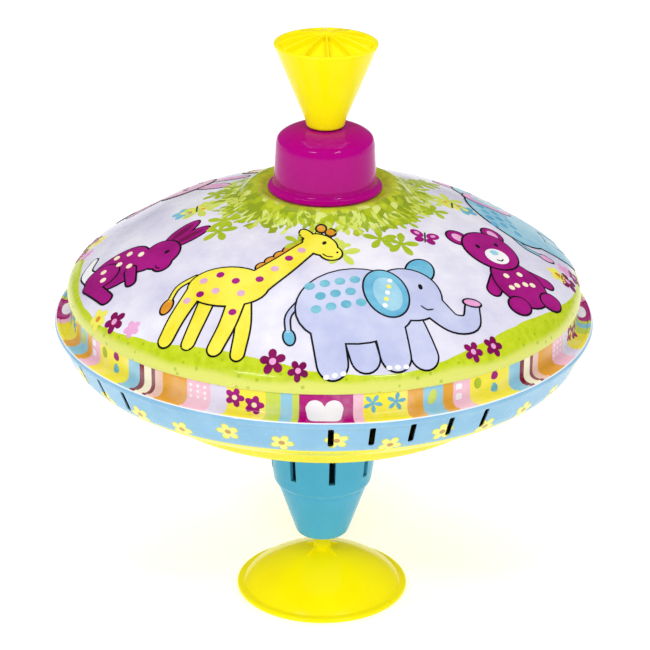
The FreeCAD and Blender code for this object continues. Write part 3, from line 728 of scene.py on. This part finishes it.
class Print:
    """Thin layers of ink on a skin, gathered into one object. put maps flat mm to the skin."""

    def __init__(self, put, turn=0.0, foot_run=0.0, lean=0.0, grid=1.3):
        self.put = put
        self.turn = math.radians(turn)
        self.foot = np.array([0.0, -foot_run])
        self.lean = math.radians(lean)
        self.grid = grid
        self.verts = []
        self.faces = []
        self.inks = []
        self.count = 0

    def lay(self, points, lift):
        """Leans the points, moves them out by foot_run, turns them about the axis, lays them."""
        p = np.array(points, float)
        for angle, shift in ((self.lean, self.foot), (self.turn, 0.0)):
            c, s = math.cos(angle), math.sin(angle)
            p = p @ np.array([[c, s], [-s, c]]) + shift
        return self.put(p, lift)

    def add(self, verts, faces, ink):
        self.verts.append(verts)
        self.faces += [[self.count + i for i in f] for f in faces]
        self.inks += [INK_NAMES.index(ink)] * len(faces)
        self.count += len(verts)

    def fill(self, outline, ink, layer=1, smooth=True):
        """A patch of ink inside a closed outline."""
        edge = spline(outline, 0.7, True) if smooth else resample(outline, 0.8)
        flat = np.vstack([edge, self.inner_points(edge)])
        result = delaunay_2d_cdt([Vector(v) for v in flat], [], [list(range(len(edge)))], 1, 1e-4)
        flat = np.array([tuple(v) for v in result[0]])
        tris = [list(f) for f in result[2]]
        n = len(flat)
        sides = [(a, b) for f in tris for a, b in zip(f, f[1:] + f[:1])]
        inside = set(sides)
        rim = [(a, b) for a, b in sides if (b, a) not in inside]
        faces = tris + [[i + n for i in f[::-1]] for f in tris]
        faces += [[b, a, a + n, b + n] for a, b in rim]
        verts = np.vstack([self.lay(flat, LAYER * layer), self.lay(flat, -SUNK)])
        self.add(verts, faces, ink)

    def inner_points(self, edge):
        """Grid points inside an outline, so that its patch bends with the skin."""
        grid = self.grid
        low, high = edge.min(0), edge.max(0)
        gx, gy = np.meshgrid(np.arange(low[0] + grid / 3, high[0], grid),
                             np.arange(low[1] + grid / 3, high[1], grid))
        inner = np.stack([gx.ravel(), gy.ravel()], 1)
        inner = inner[covers(edge, inner)]
        gap = np.linalg.norm(inner[:, None] - edge[None], axis=2).min(1)
        return inner[gap > grid * 0.35]

    def stroke(self, line, width, ink="line", layer=5):
        """A drawn line, a little thinner at its ends."""
        p = spline(line, 0.7)
        slope = np.gradient(p, axis=0)
        slope /= np.linalg.norm(slope, axis=1)[:, None] + 1e-9
        side = np.stack([-slope[:, 1], slope[:, 0]], 1)
        half = np.full((len(p), 1), width / 2)
        half[0] = half[-1] = width / 4
        left, right = p + side * half, p - side * half
        n = len(p)
        verts = np.vstack([self.lay(left, LAYER * layer), self.lay(right, LAYER * layer),
                           self.lay(right, -SUNK), self.lay(left, -SUNK)])
        faces = [[0, n, 2 * n, 3 * n], [n - 1, 4 * n - 1, 3 * n - 1, 2 * n - 1]]
        for i in range(n - 1):
            for a in range(4):
                b = (a + 1) % 4
                faces.append([a * n + i, b * n + i, b * n + i + 1, a * n + i + 1])
        self.add(verts, faces, ink)

    def figure(self, parts, ink, layer=1, width=0.7):
        """Parts of one ink as one silhouette: the same parts, grown, lie under them as its line."""
        for i, part in enumerate(parts):
            self.fill(part(width), "line", layer + 0.06 * i, False)
            self.fill(part(), ink, layer + 1.5 + 0.06 * i, False)

    def blob(self, x, y, rx, ry, ink, layer=3, turn=0.0):
        t = np.radians(np.arange(0, 360, 30))
        c, s = math.cos(math.radians(turn)), math.sin(math.radians(turn))
        u, v = rx * np.cos(t), ry * np.sin(t)
        self.fill(np.stack([x + u * c - v * s, y + u * s + v * c], 1), ink, layer)

    def flower(self, x, y, size, ink, heart, layer=3, petals=5, turn=0.0, pinch=0.42):
        """Round petals about a small heart."""
        t = np.arange(0, 360, 360 / (petals * 8))
        reach = pinch + (1 - pinch) * np.abs(np.cos(np.radians((t - turn) * petals / 2))) ** 0.7
        a = np.radians(t)
        ring = np.stack([x + size * reach * np.cos(a), y + size * reach * np.sin(a)], 1)
        self.fill(ring, ink, layer, smooth=False)
        if heart:
            self.blob(x, y, size * 0.26, size * 0.26, heart, layer + 1)

    def leaf(self, x, y, length, width, turn, ink, layer=2):
        """One pointed-oval leaf whose stalk end is at x, y."""
        c, s = math.cos(math.radians(turn)), math.sin(math.radians(turn))
        u = np.array([0.0, 0.3, 0.65, 0.92, 1.0, 0.92, 0.65, 0.3]) * length
        v = np.array([0.0, 0.32, 0.5, 0.28, 0.0, -0.28, -0.5, -0.32]) * width
        self.fill(np.stack([x + u * c - v * s, y + u * s + v * c], 1), ink, layer)

    def leaf_flower(self, x, y, size, ink, turn=90.0, leaves=5):
        for i in range(leaves):
            self.leaf(x, y, size, size * 0.42, turn + i * 360 / leaves, ink, 2 if i % 2 else 3)

    def finish(self, name):
        used = sorted(set(self.inks))
        obj = closed_object(name, np.vstack(self.verts), self.faces,
                            [INKS[INK_NAMES[i]] for i in used], [used.index(i) for i in self.inks])
        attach(obj, "rotor")
        return obj


def oval(x, y, rx, ry, turn=0.0):
    """An oval whose outline can grow all round."""
    def outline(grow=0.0):
        t = np.radians(np.arange(0, 360, 12))
        c, s = math.cos(math.radians(turn)), math.sin(math.radians(turn))
        u, v = (rx + grow) * np.cos(t), (ry + grow) * np.sin(t)
        return np.stack([x + u * c - v * s, y + u * s + v * c], 1)
    return outline


def limb(line, start, end):
    """A tube with round ends along a smooth line, as an outline that can grow all round."""
    def outline(grow=0.0):
        p = spline(line, 1.2)
        slope = np.gradient(p, axis=0)
        slope /= np.linalg.norm(slope, axis=1)[:, None]
        side = np.stack([-slope[:, 1], slope[:, 0]], 1)
        half = np.linspace(start, end, len(p))[:, None] / 2 + grow
        caps = []
        for here, out, reach in ((p[-1], slope[-1], half[-1]), (p[0], -slope[0], half[0])):
            t = math.atan2(out[1], out[0]) + np.radians(np.arange(72, -90, -18))
            caps.append(here + reach * np.stack([np.cos(t), np.sin(t)], 1))
        return np.vstack([p + side * half, caps[0], (p - side * half)[::-1], caps[1]])
    return outline


def mirrored(*centres):
    """Each place and its mirror image about the figure's middle."""
    return [(side * x, y) for x, y in centres for side in (-1, 1)]


def giraffe(art, coat="yellow", mane="orange"):
    """A giraffe that stands facing right, with round spots and a scalloped mane."""
    art.figure([limb([(-18, 30), (-23, 25), (-23.5, 19)], 1.3, 1.1)], coat)
    art.figure([oval(-23.4, 16.5, 1.9, 3.2)], mane)
    art.figure([oval(4 + 1.7 * i, 39 + 3.6 * i, 2.1, 2.1) for i in range(6)], mane)
    for x in (14.6, 18.4):
        art.figure([limb([(x, 59), (x - 0.4, 63.5)], 1.4, 1.4)], coat)
        art.figure([oval(x - 0.5, 64.6, 1.6, 1.5)], mane, 3)
    art.figure([limb([(-9, 24), (-8, 12), (-7.6, 3)], 5.6, 4.6),
                limb([(4, 24), (9.6, 13), (12.4, 3.2)], 5.6, 4.6)], coat)
    art.figure([oval(-4, 28, 15, 8.4, 8), limb([(5, 30), (10.6, 42), (14.6, 54)], 11, 6.4),
                oval(17.6, 57, 6.6, 4.9, -12), oval(23, 54.8, 3.9, 3.5),
                limb([(-15, 26), (-16.6, 13), (-17, 3)], 6.6, 5.2),
                limb([(2, 24), (3.6, 12), (3.4, 3)], 6.2, 5.2)], coat, 3)
    art.figure([oval(11, 59.6, 3.4, 1.7, 155)], coat, 3)
    spots = ((-14, 28.5), (-9, 32), (-7.4, 25), (-2, 30.5), (2.4, 26), (6, 33.4), (8.8, 39.6),
             (11, 46), (-16.4, 19.6), (3, 18), (13.2, 51.4), (-12.6, 22.8))
    for i, (x, y) in enumerate(spots):
        art.blob(x, y, 1.5, 1.3, "magenta" if i % 2 else "rose", 6)
    art.blob(18.6, 58.4, 0.75, 1.0, "line", 6)
    art.blob(25, 56, 0.4, 0.5, "line", 6)
    art.stroke([(20.6, 53), (22.6, 52.4), (24.8, 53.2)], 0.5, "line", 6)


def elephant(art, coat="lilac", ear="blue", dots="teal"):
    """An elephant that stands facing right, trunk up, with a round ear and a dotted back."""
    art.figure([limb([(-23, 33), (-29, 28), (-30.4, 22)], 1.6, 1.3)], coat)
    art.figure([oval(-30.6, 19.6, 1.8, 3.0)], ear)
    art.figure([oval(21.5, 41.5, 4.6, 6.4, -35)], ear)
    art.figure([limb([(-7, 18), (-6, 6)], 10, 10), limb([(13, 18), (15.6, 6)], 10, 10)], coat)
    art.figure([oval(-5, 27.5, 21, 15.5), oval(15, 31, 12, 11),
                limb([(22, 27), (29.5, 19.6), (36, 20.6), (38.4, 28)], 10, 4.6),
                limb([(-17, 20), (-18, 5.8)], 11, 10.6), limb([(5, 18), (5, 5.8)], 11, 10.6)], coat, 3)
    art.figure([oval(38.6, 29.6, 3.2, 1.4)], "pink", 5)
    art.figure([oval(7, 31.4, 7.6, 10, 8)], ear, 5)
    art.fill(oval(7.4, 30.8, 5.0, 7.2, 8)(), "sky", 7.5)
    for i in range(5):
        art.blob(5.4 + i, 26 + 2.6 * i, 0.9, 0.9, "bud" if i % 2 else "white", 8.5)
    for row, height in enumerate((38, 33, 28)):
        for i in range(4 - row % 2):
            art.blob(-19 + 5.4 * i + 2.7 * (row % 2), height, 1.9, 1.6, dots, 5.5)
    for x in (-18, 5):
        for i in (-1, 0, 1):
            art.blob(x + 3.1 * i, 1.9, 1.1, 0.8, "white", 6)
    art.blob(20, 34, 0.8, 1.2, "line", 6)
    art.stroke([(18.4, 26), (20.6, 24.4), (23, 24.8)], 0.55, "line", 6)


def hopper(art, coat="magenta", dark="wine"):
    """A long-eared hopping animal on its haunches, facing right, with cream dots."""
    art.figure([limb([(-9, 6), (-17, 7), (-22, 13)], 6, 2.6)], "white")
    for x, lean in ((5, 14), (10.4, -6)):
        art.figure([oval(x, 38.4, 3.0, 8.0, lean)], coat)
        art.fill(oval(x, 38.6, 1.3, 5.4, lean)(), dark, 3)
    art.figure([oval(-2, 14, 10.5, 12.5, -28), oval(10, 27, 8, 7), oval(15.8, 24.6, 3.8, 3.4),
                limb([(4, 19), (8, 22)], 10, 9)], coat, 3)
    art.figure([oval(-5, 8.4, 7.4, 6.4, 20), limb([(-6, 3), (10, 2.8)], 5, 4.4)], coat, 5)
    art.figure([limb([(5.6, 16), (12.4, 12.6)], 4.2, 3.4)], coat, 5)
    for x, y in ((-9.4, 17.4), (-5, 21), (-3.6, 15.6), (1.4, 23), (-6.8, 10.2), (-2, 7.6), (2.6, 17)):
        art.blob(x, y, 1.4, 1.2, "cream", 7)
    art.blob(11.6, 29, 0.8, 1.0, "line", 6)
    art.stroke([(14.2, 22.8), (15.8, 22.2), (17.6, 22.8)], 0.45, "line", 6)


def sitter(art, coat="magenta", long_ears=False, belly="cream", nose="sky"):
    """A small animal that sits facing forward, with round or with long ears."""
    ear_x, ear_y, ear_wide, ear_high = (5.2, 46.0, 3.0, 8.0) if long_ears else (9.0, 38.6, 4.0, 4.0)
    for side in (-1, 1):
        art.figure([oval(side * ear_x, ear_y, ear_wide, ear_high, -8 * side)], coat)
        art.fill(oval(side * ear_x, ear_y, ear_wide * 0.5, ear_high * 0.6, -8 * side)(), "pink", 3)
    art.figure([limb([(side * 8, 17), (side * 14.6, 12.4)], 5.4, 4.8) for side in (-1, 1)], coat)
    art.figure([oval(0, 13.4, 11, 11.4)], coat, 3)
    art.figure([oval(x, y, 4.6, 3.8) for x, y in mirrored((8.6, 4.0))], coat, 5)
    art.figure([oval(0, 30, 11.4, 9.8)], coat, 5)
    art.blob(0, 26.6, 5.4, 3.9, "white", 7)
    art.blob(0, 28.4, 1.9, 1.3, nose, 8)
    for x, y in mirrored((4.8, 32.4)):
        art.blob(x, y, 0.8, 1.0, "line", 8)
    for x, y in mirrored((3.6, 17.4), (2.2, 12.6), (5.6, 12.0)):
        art.blob(x, y, 1.3, 1.1, belly, 6)
    art.stroke([(-1.8, 25), (0, 24.2), (1.8, 25)], 0.5, "line", 8)


ZOO = (("giraffe", giraffe, -27, 95, 0, {}), ("elephant", elephant, 13, 98, 0, {}),
       ("hopper", hopper, -69, 94, 8, {}), ("cub", sitter, 60, 93, -18, {}),
       ("elephant_blue", elephant, 107, 98, 0, {"coat": "sky", "ear": "pink", "dots": "blue"}),
       ("giraffe_orange", giraffe, 186, 95, 0, {"coat": "peach", "mane": "brown"}),
       ("rabbit", sitter, 236, 93, 0, {"coat": "rose", "long_ears": True, "nose": "magenta"}))
for name, draw, azimuth, foot_run, lean, looks in ZOO:
    art = Print(dome_plan, azimuth, foot_run, lean)
    draw(art, **looks)
    art.finish("print_" + name)


# ---- flowers, leaves and the rim's patterns --------------------------------------------------
def butterfly(art, x, y, size, wing, spot):
    for side in (-1, 1):
        art.blob(x + side * size * 0.55, y + size * 0.35, size * 0.5, size * 0.36, wing, 2, side * 35)
        art.blob(x + side * size * 0.4, y - size * 0.35, size * 0.34, size * 0.28, wing, 3, side * -35)
        art.blob(x + side * size * 0.55, y + size * 0.35, size * 0.2, size * 0.14, spot, 4, side * 35)
    art.stroke([(x, y - size * 0.6), (x, y + size * 0.6)], 0.5, "line", 5)


SPRIGS = ((-38, -26, 6.6, "green", 70), (6, -46, 7.0, "pale_green", 90), (20, -36, 6.4, "green", 100),
          (8, -31.5, 4.4, "pale_green", 60), (40, -8, 5.6, "green", 20), (-43, -3, 5.2, "pale_green", 0))
MEADOW = ((-77, -55.5, 4.6, "wine"), (-18, -92, 4.8, "wine"), (-9, -96, 3.9, "wine"),
          (54, -79, 3.9, "wine"), (61.5, -73.5, 3.9, "wine"), (-84, -49, 4.4, "bud"),
          (88, -15, 4.4, "bud"), (-70, -63, 3.6, "pink"), (92, -6, 3.6, "pink"))
for turn in (0, 92, 180, 268):
    art = Print(dome_plan, turn)
    for x, y, size, ink, lean in SPRIGS:
        art.leaf_flower(x, y, size, ink, lean)
    for x, y, size, ink in MEADOW:
        if turn in (0, 180) or abs(x) < 30:
            art.flower(x, y, size, ink, "orange" if ink == "bud" else "pink", 3, 5, x * 11)
    if turn in (0, 180):
        art.flower(-52, -3, 4.5, "teal", "bud", 2, 5, 20)
        butterfly(art, 47, 3, 4.4, "bud", "orange")
    if turn == 0:
        butterfly(art, 36, -30, 5.2, "magenta", "pink")
    art.finish("print_meadow_%d" % turn)

random.seed(5)
art = Print(dome_plan)
GREENS = ("green", "pale_green", "moss", "green", "pale_green", "bud_green")
for i in range(300):
    azimuth = math.radians(i * 360 / 300 + random.uniform(-1, 1))
    reach = random.uniform(25.5, 32.5) + 6.5 * math.sin(azimuth) ** 2
    x, y = reach * math.sin(azimuth), -reach * math.cos(azimuth)
    lean = math.degrees(math.atan2(y, x)) + random.uniform(-50, 50)
    art.leaf(x, y, random.uniform(2.6, 5.4), random.uniform(1.2, 1.9), lean, random.choice(GREENS),
             random.choice((1, 2, 3)))
art.finish("print_canopy")


def rim_patterns(quarter):
    """The small motifs in the stripes of one quarter of the rim."""
    def spot(azimuth, z):
        return Print(dome_patch(azimuth + quarter, z), grid=0.9)
    arts = []
    art = spot(0.3, 112.0)
    drop = -4.6
    art.fill([(-4.4, drop), (-5.9, -1.2), (-6.1, 0.6), (-4.9, 2.6), (-2.8, 3.2), (-0.8, 2.2), (0, 0.9),
              (0.8, 2.2), (2.8, 3.2), (4.9, 2.6), (6.1, 0.6), (5.9, -1.2), (4.4, drop)], "white", 1)
    arts.append(art)
    for azimuth in (10.4, 15.4):
        art = spot(azimuth, 113.6)
        art.leaf_flower(0, 0, 3.3, "blue", 90 + azimuth * 4)
        arts.append(art)
    art = spot(23.5, 113.4)
    art.blob(0, 0, 1.5, 2.7, "pale_green", 1, -15)
    arts.append(art)
    for z in (115.2, 111.6):
        art = spot(29.8, z)
        art.fill([(-1.2, -1.1), (1.2, -1.1), (1.2, 1.1), (-1.2, 1.1)], "white", 1, False)
        arts.append(art)
    art = spot(34.6, 114.6)
    art.blob(0, 0, 1.5, 2.0, "green", 1, 10)
    arts.append(art)
    for z, ink in ((115.6, "magenta"), (111.2, "teal")):
        art = spot(39.2, z)
        art.fill([(-0.2, 1.9), (1.5, 0.2), (1.2, -1.1), (0, -1.5), (-1.4, -0.9), (-1.4, 0.4)], ink, 1)
        arts.append(art)
    for i in range(3):
        for k in range(3):
            art = spot(61.0 + 1.7 * i, 115.4 - 2.0 * k)
            art.blob(0, 0, 0.55, 0.55, "white", 1)
            arts.append(art)
    for azimuth, z in ((71.2, 113.8), (75.5, 112.0)):
        art = spot(azimuth, z)
        art.flower(0, 0, 3.5, "magenta", "cream", 1, 5, azimuth)
        arts.append(art)
    return arts


art = Print(dome_plan)
for quarter in (0, 90, 180, 270):
    for piece in rim_patterns(quarter):
        for verts in piece.verts:
            art.verts.append(verts)
        art.faces += [[art.count + i for i in f] for f in piece.faces]
        art.inks += piece.inks
        art.count += piece.count
art.finish("print_rim")


# ---- studio -------------------------------------------------------------------------------
def floor_plane(size=3.0, cells=12):
    """A wide pale floor, with a faint sweep of tone so that it isn't one flat colour."""
    line = np.linspace(-size, size, cells + 1) / MM
    verts = [(x, y, 0.0) for y in line for x in line]
    n = cells + 1
    faces = [(j * n + i, j * n + i + 1, (j + 1) * n + i + 1, (j + 1) * n + i)
             for j in range(cells) for i in range(cells)]
    s = Shader("studio_floor", roughness=0.9, specular_ior_level=0.0, emission_strength=0.3)
    s.bsdf.inputs["Emission Color"].default_value = (1.0, 1.0, 1.0, 1.0)
    s.colour(s.ramp(s.noise(2.0), [(0.3, linear((250, 250, 250))), (0.7, linear((255, 255, 255)))]))
    return new_object("floor", verts, faces, [s.material])


AIM = (0.0, 0.0, 0.12)


def area(name, place, size, power):
    lamp = bpy.data.lights.new(name, "AREA")
    lamp.shape = "RECTANGLE"
    lamp.size, lamp.size_y = size
    lamp.energy = power
    obj = bpy.data.objects.new(name, lamp)
    bpy.context.scene.collection.objects.link(obj)
    obj.location = place
    obj.rotation_euler = (Vector(AIM) - Vector(place)).to_track_quat("-Z", "Y").to_euler()
    return obj


floor_plane()
world = bpy.data.worlds.new("studio")
world.use_nodes = True
world.node_tree.nodes["Background"].inputs["Color"].default_value = (1.0, 1.0, 1.0, 1.0)
# the studio is darker for reflections, so that gloss shows the lamps and not a white veil
glossy_drop = world.node_tree.nodes.new("ShaderNodeMath")
glossy_drop.operation = "MULTIPLY_ADD"
glossy_drop.inputs[1].default_value = -0.5
glossy_drop.inputs[2].default_value = 0.66
light_path = world.node_tree.nodes.new("ShaderNodeLightPath")
world.node_tree.links.new(light_path.outputs["Is Glossy Ray"], glossy_drop.inputs[0])
world.node_tree.links.new(glossy_drop.outputs[0], world.node_tree.nodes["Background"].inputs["Strength"])
bpy.context.scene.world = world
area("key", (-0.62, -1.0, 1.05), (0.34, 0.12), 6)
area("fill", (0.62, -1.0, 1.05), (0.3, 0.12), 4.5)
area("top", (0.0, 0.3, 1.6), (1.2, 0.8), 6)

camera_data = bpy.data.cameras.new("camera")
camera_data.lens = 149.9
camera_data.sensor_width = 36.0
camera = bpy.data.objects.new("camera", camera_data)
camera.matrix_world = (Matrix.Translation((0.0004, -0.8838, 0.4807))
                       @ Matrix.Rotation(math.radians(90 - 23.11), 4, "X")
                       @ Matrix.Rotation(math.radians(0.47), 4, "Z"))
bpy.context.scene.collection.objects.link(camera)
bpy.context.scene.camera = camera
bpy.context.scene.view_settings.view_transform = "Standard"
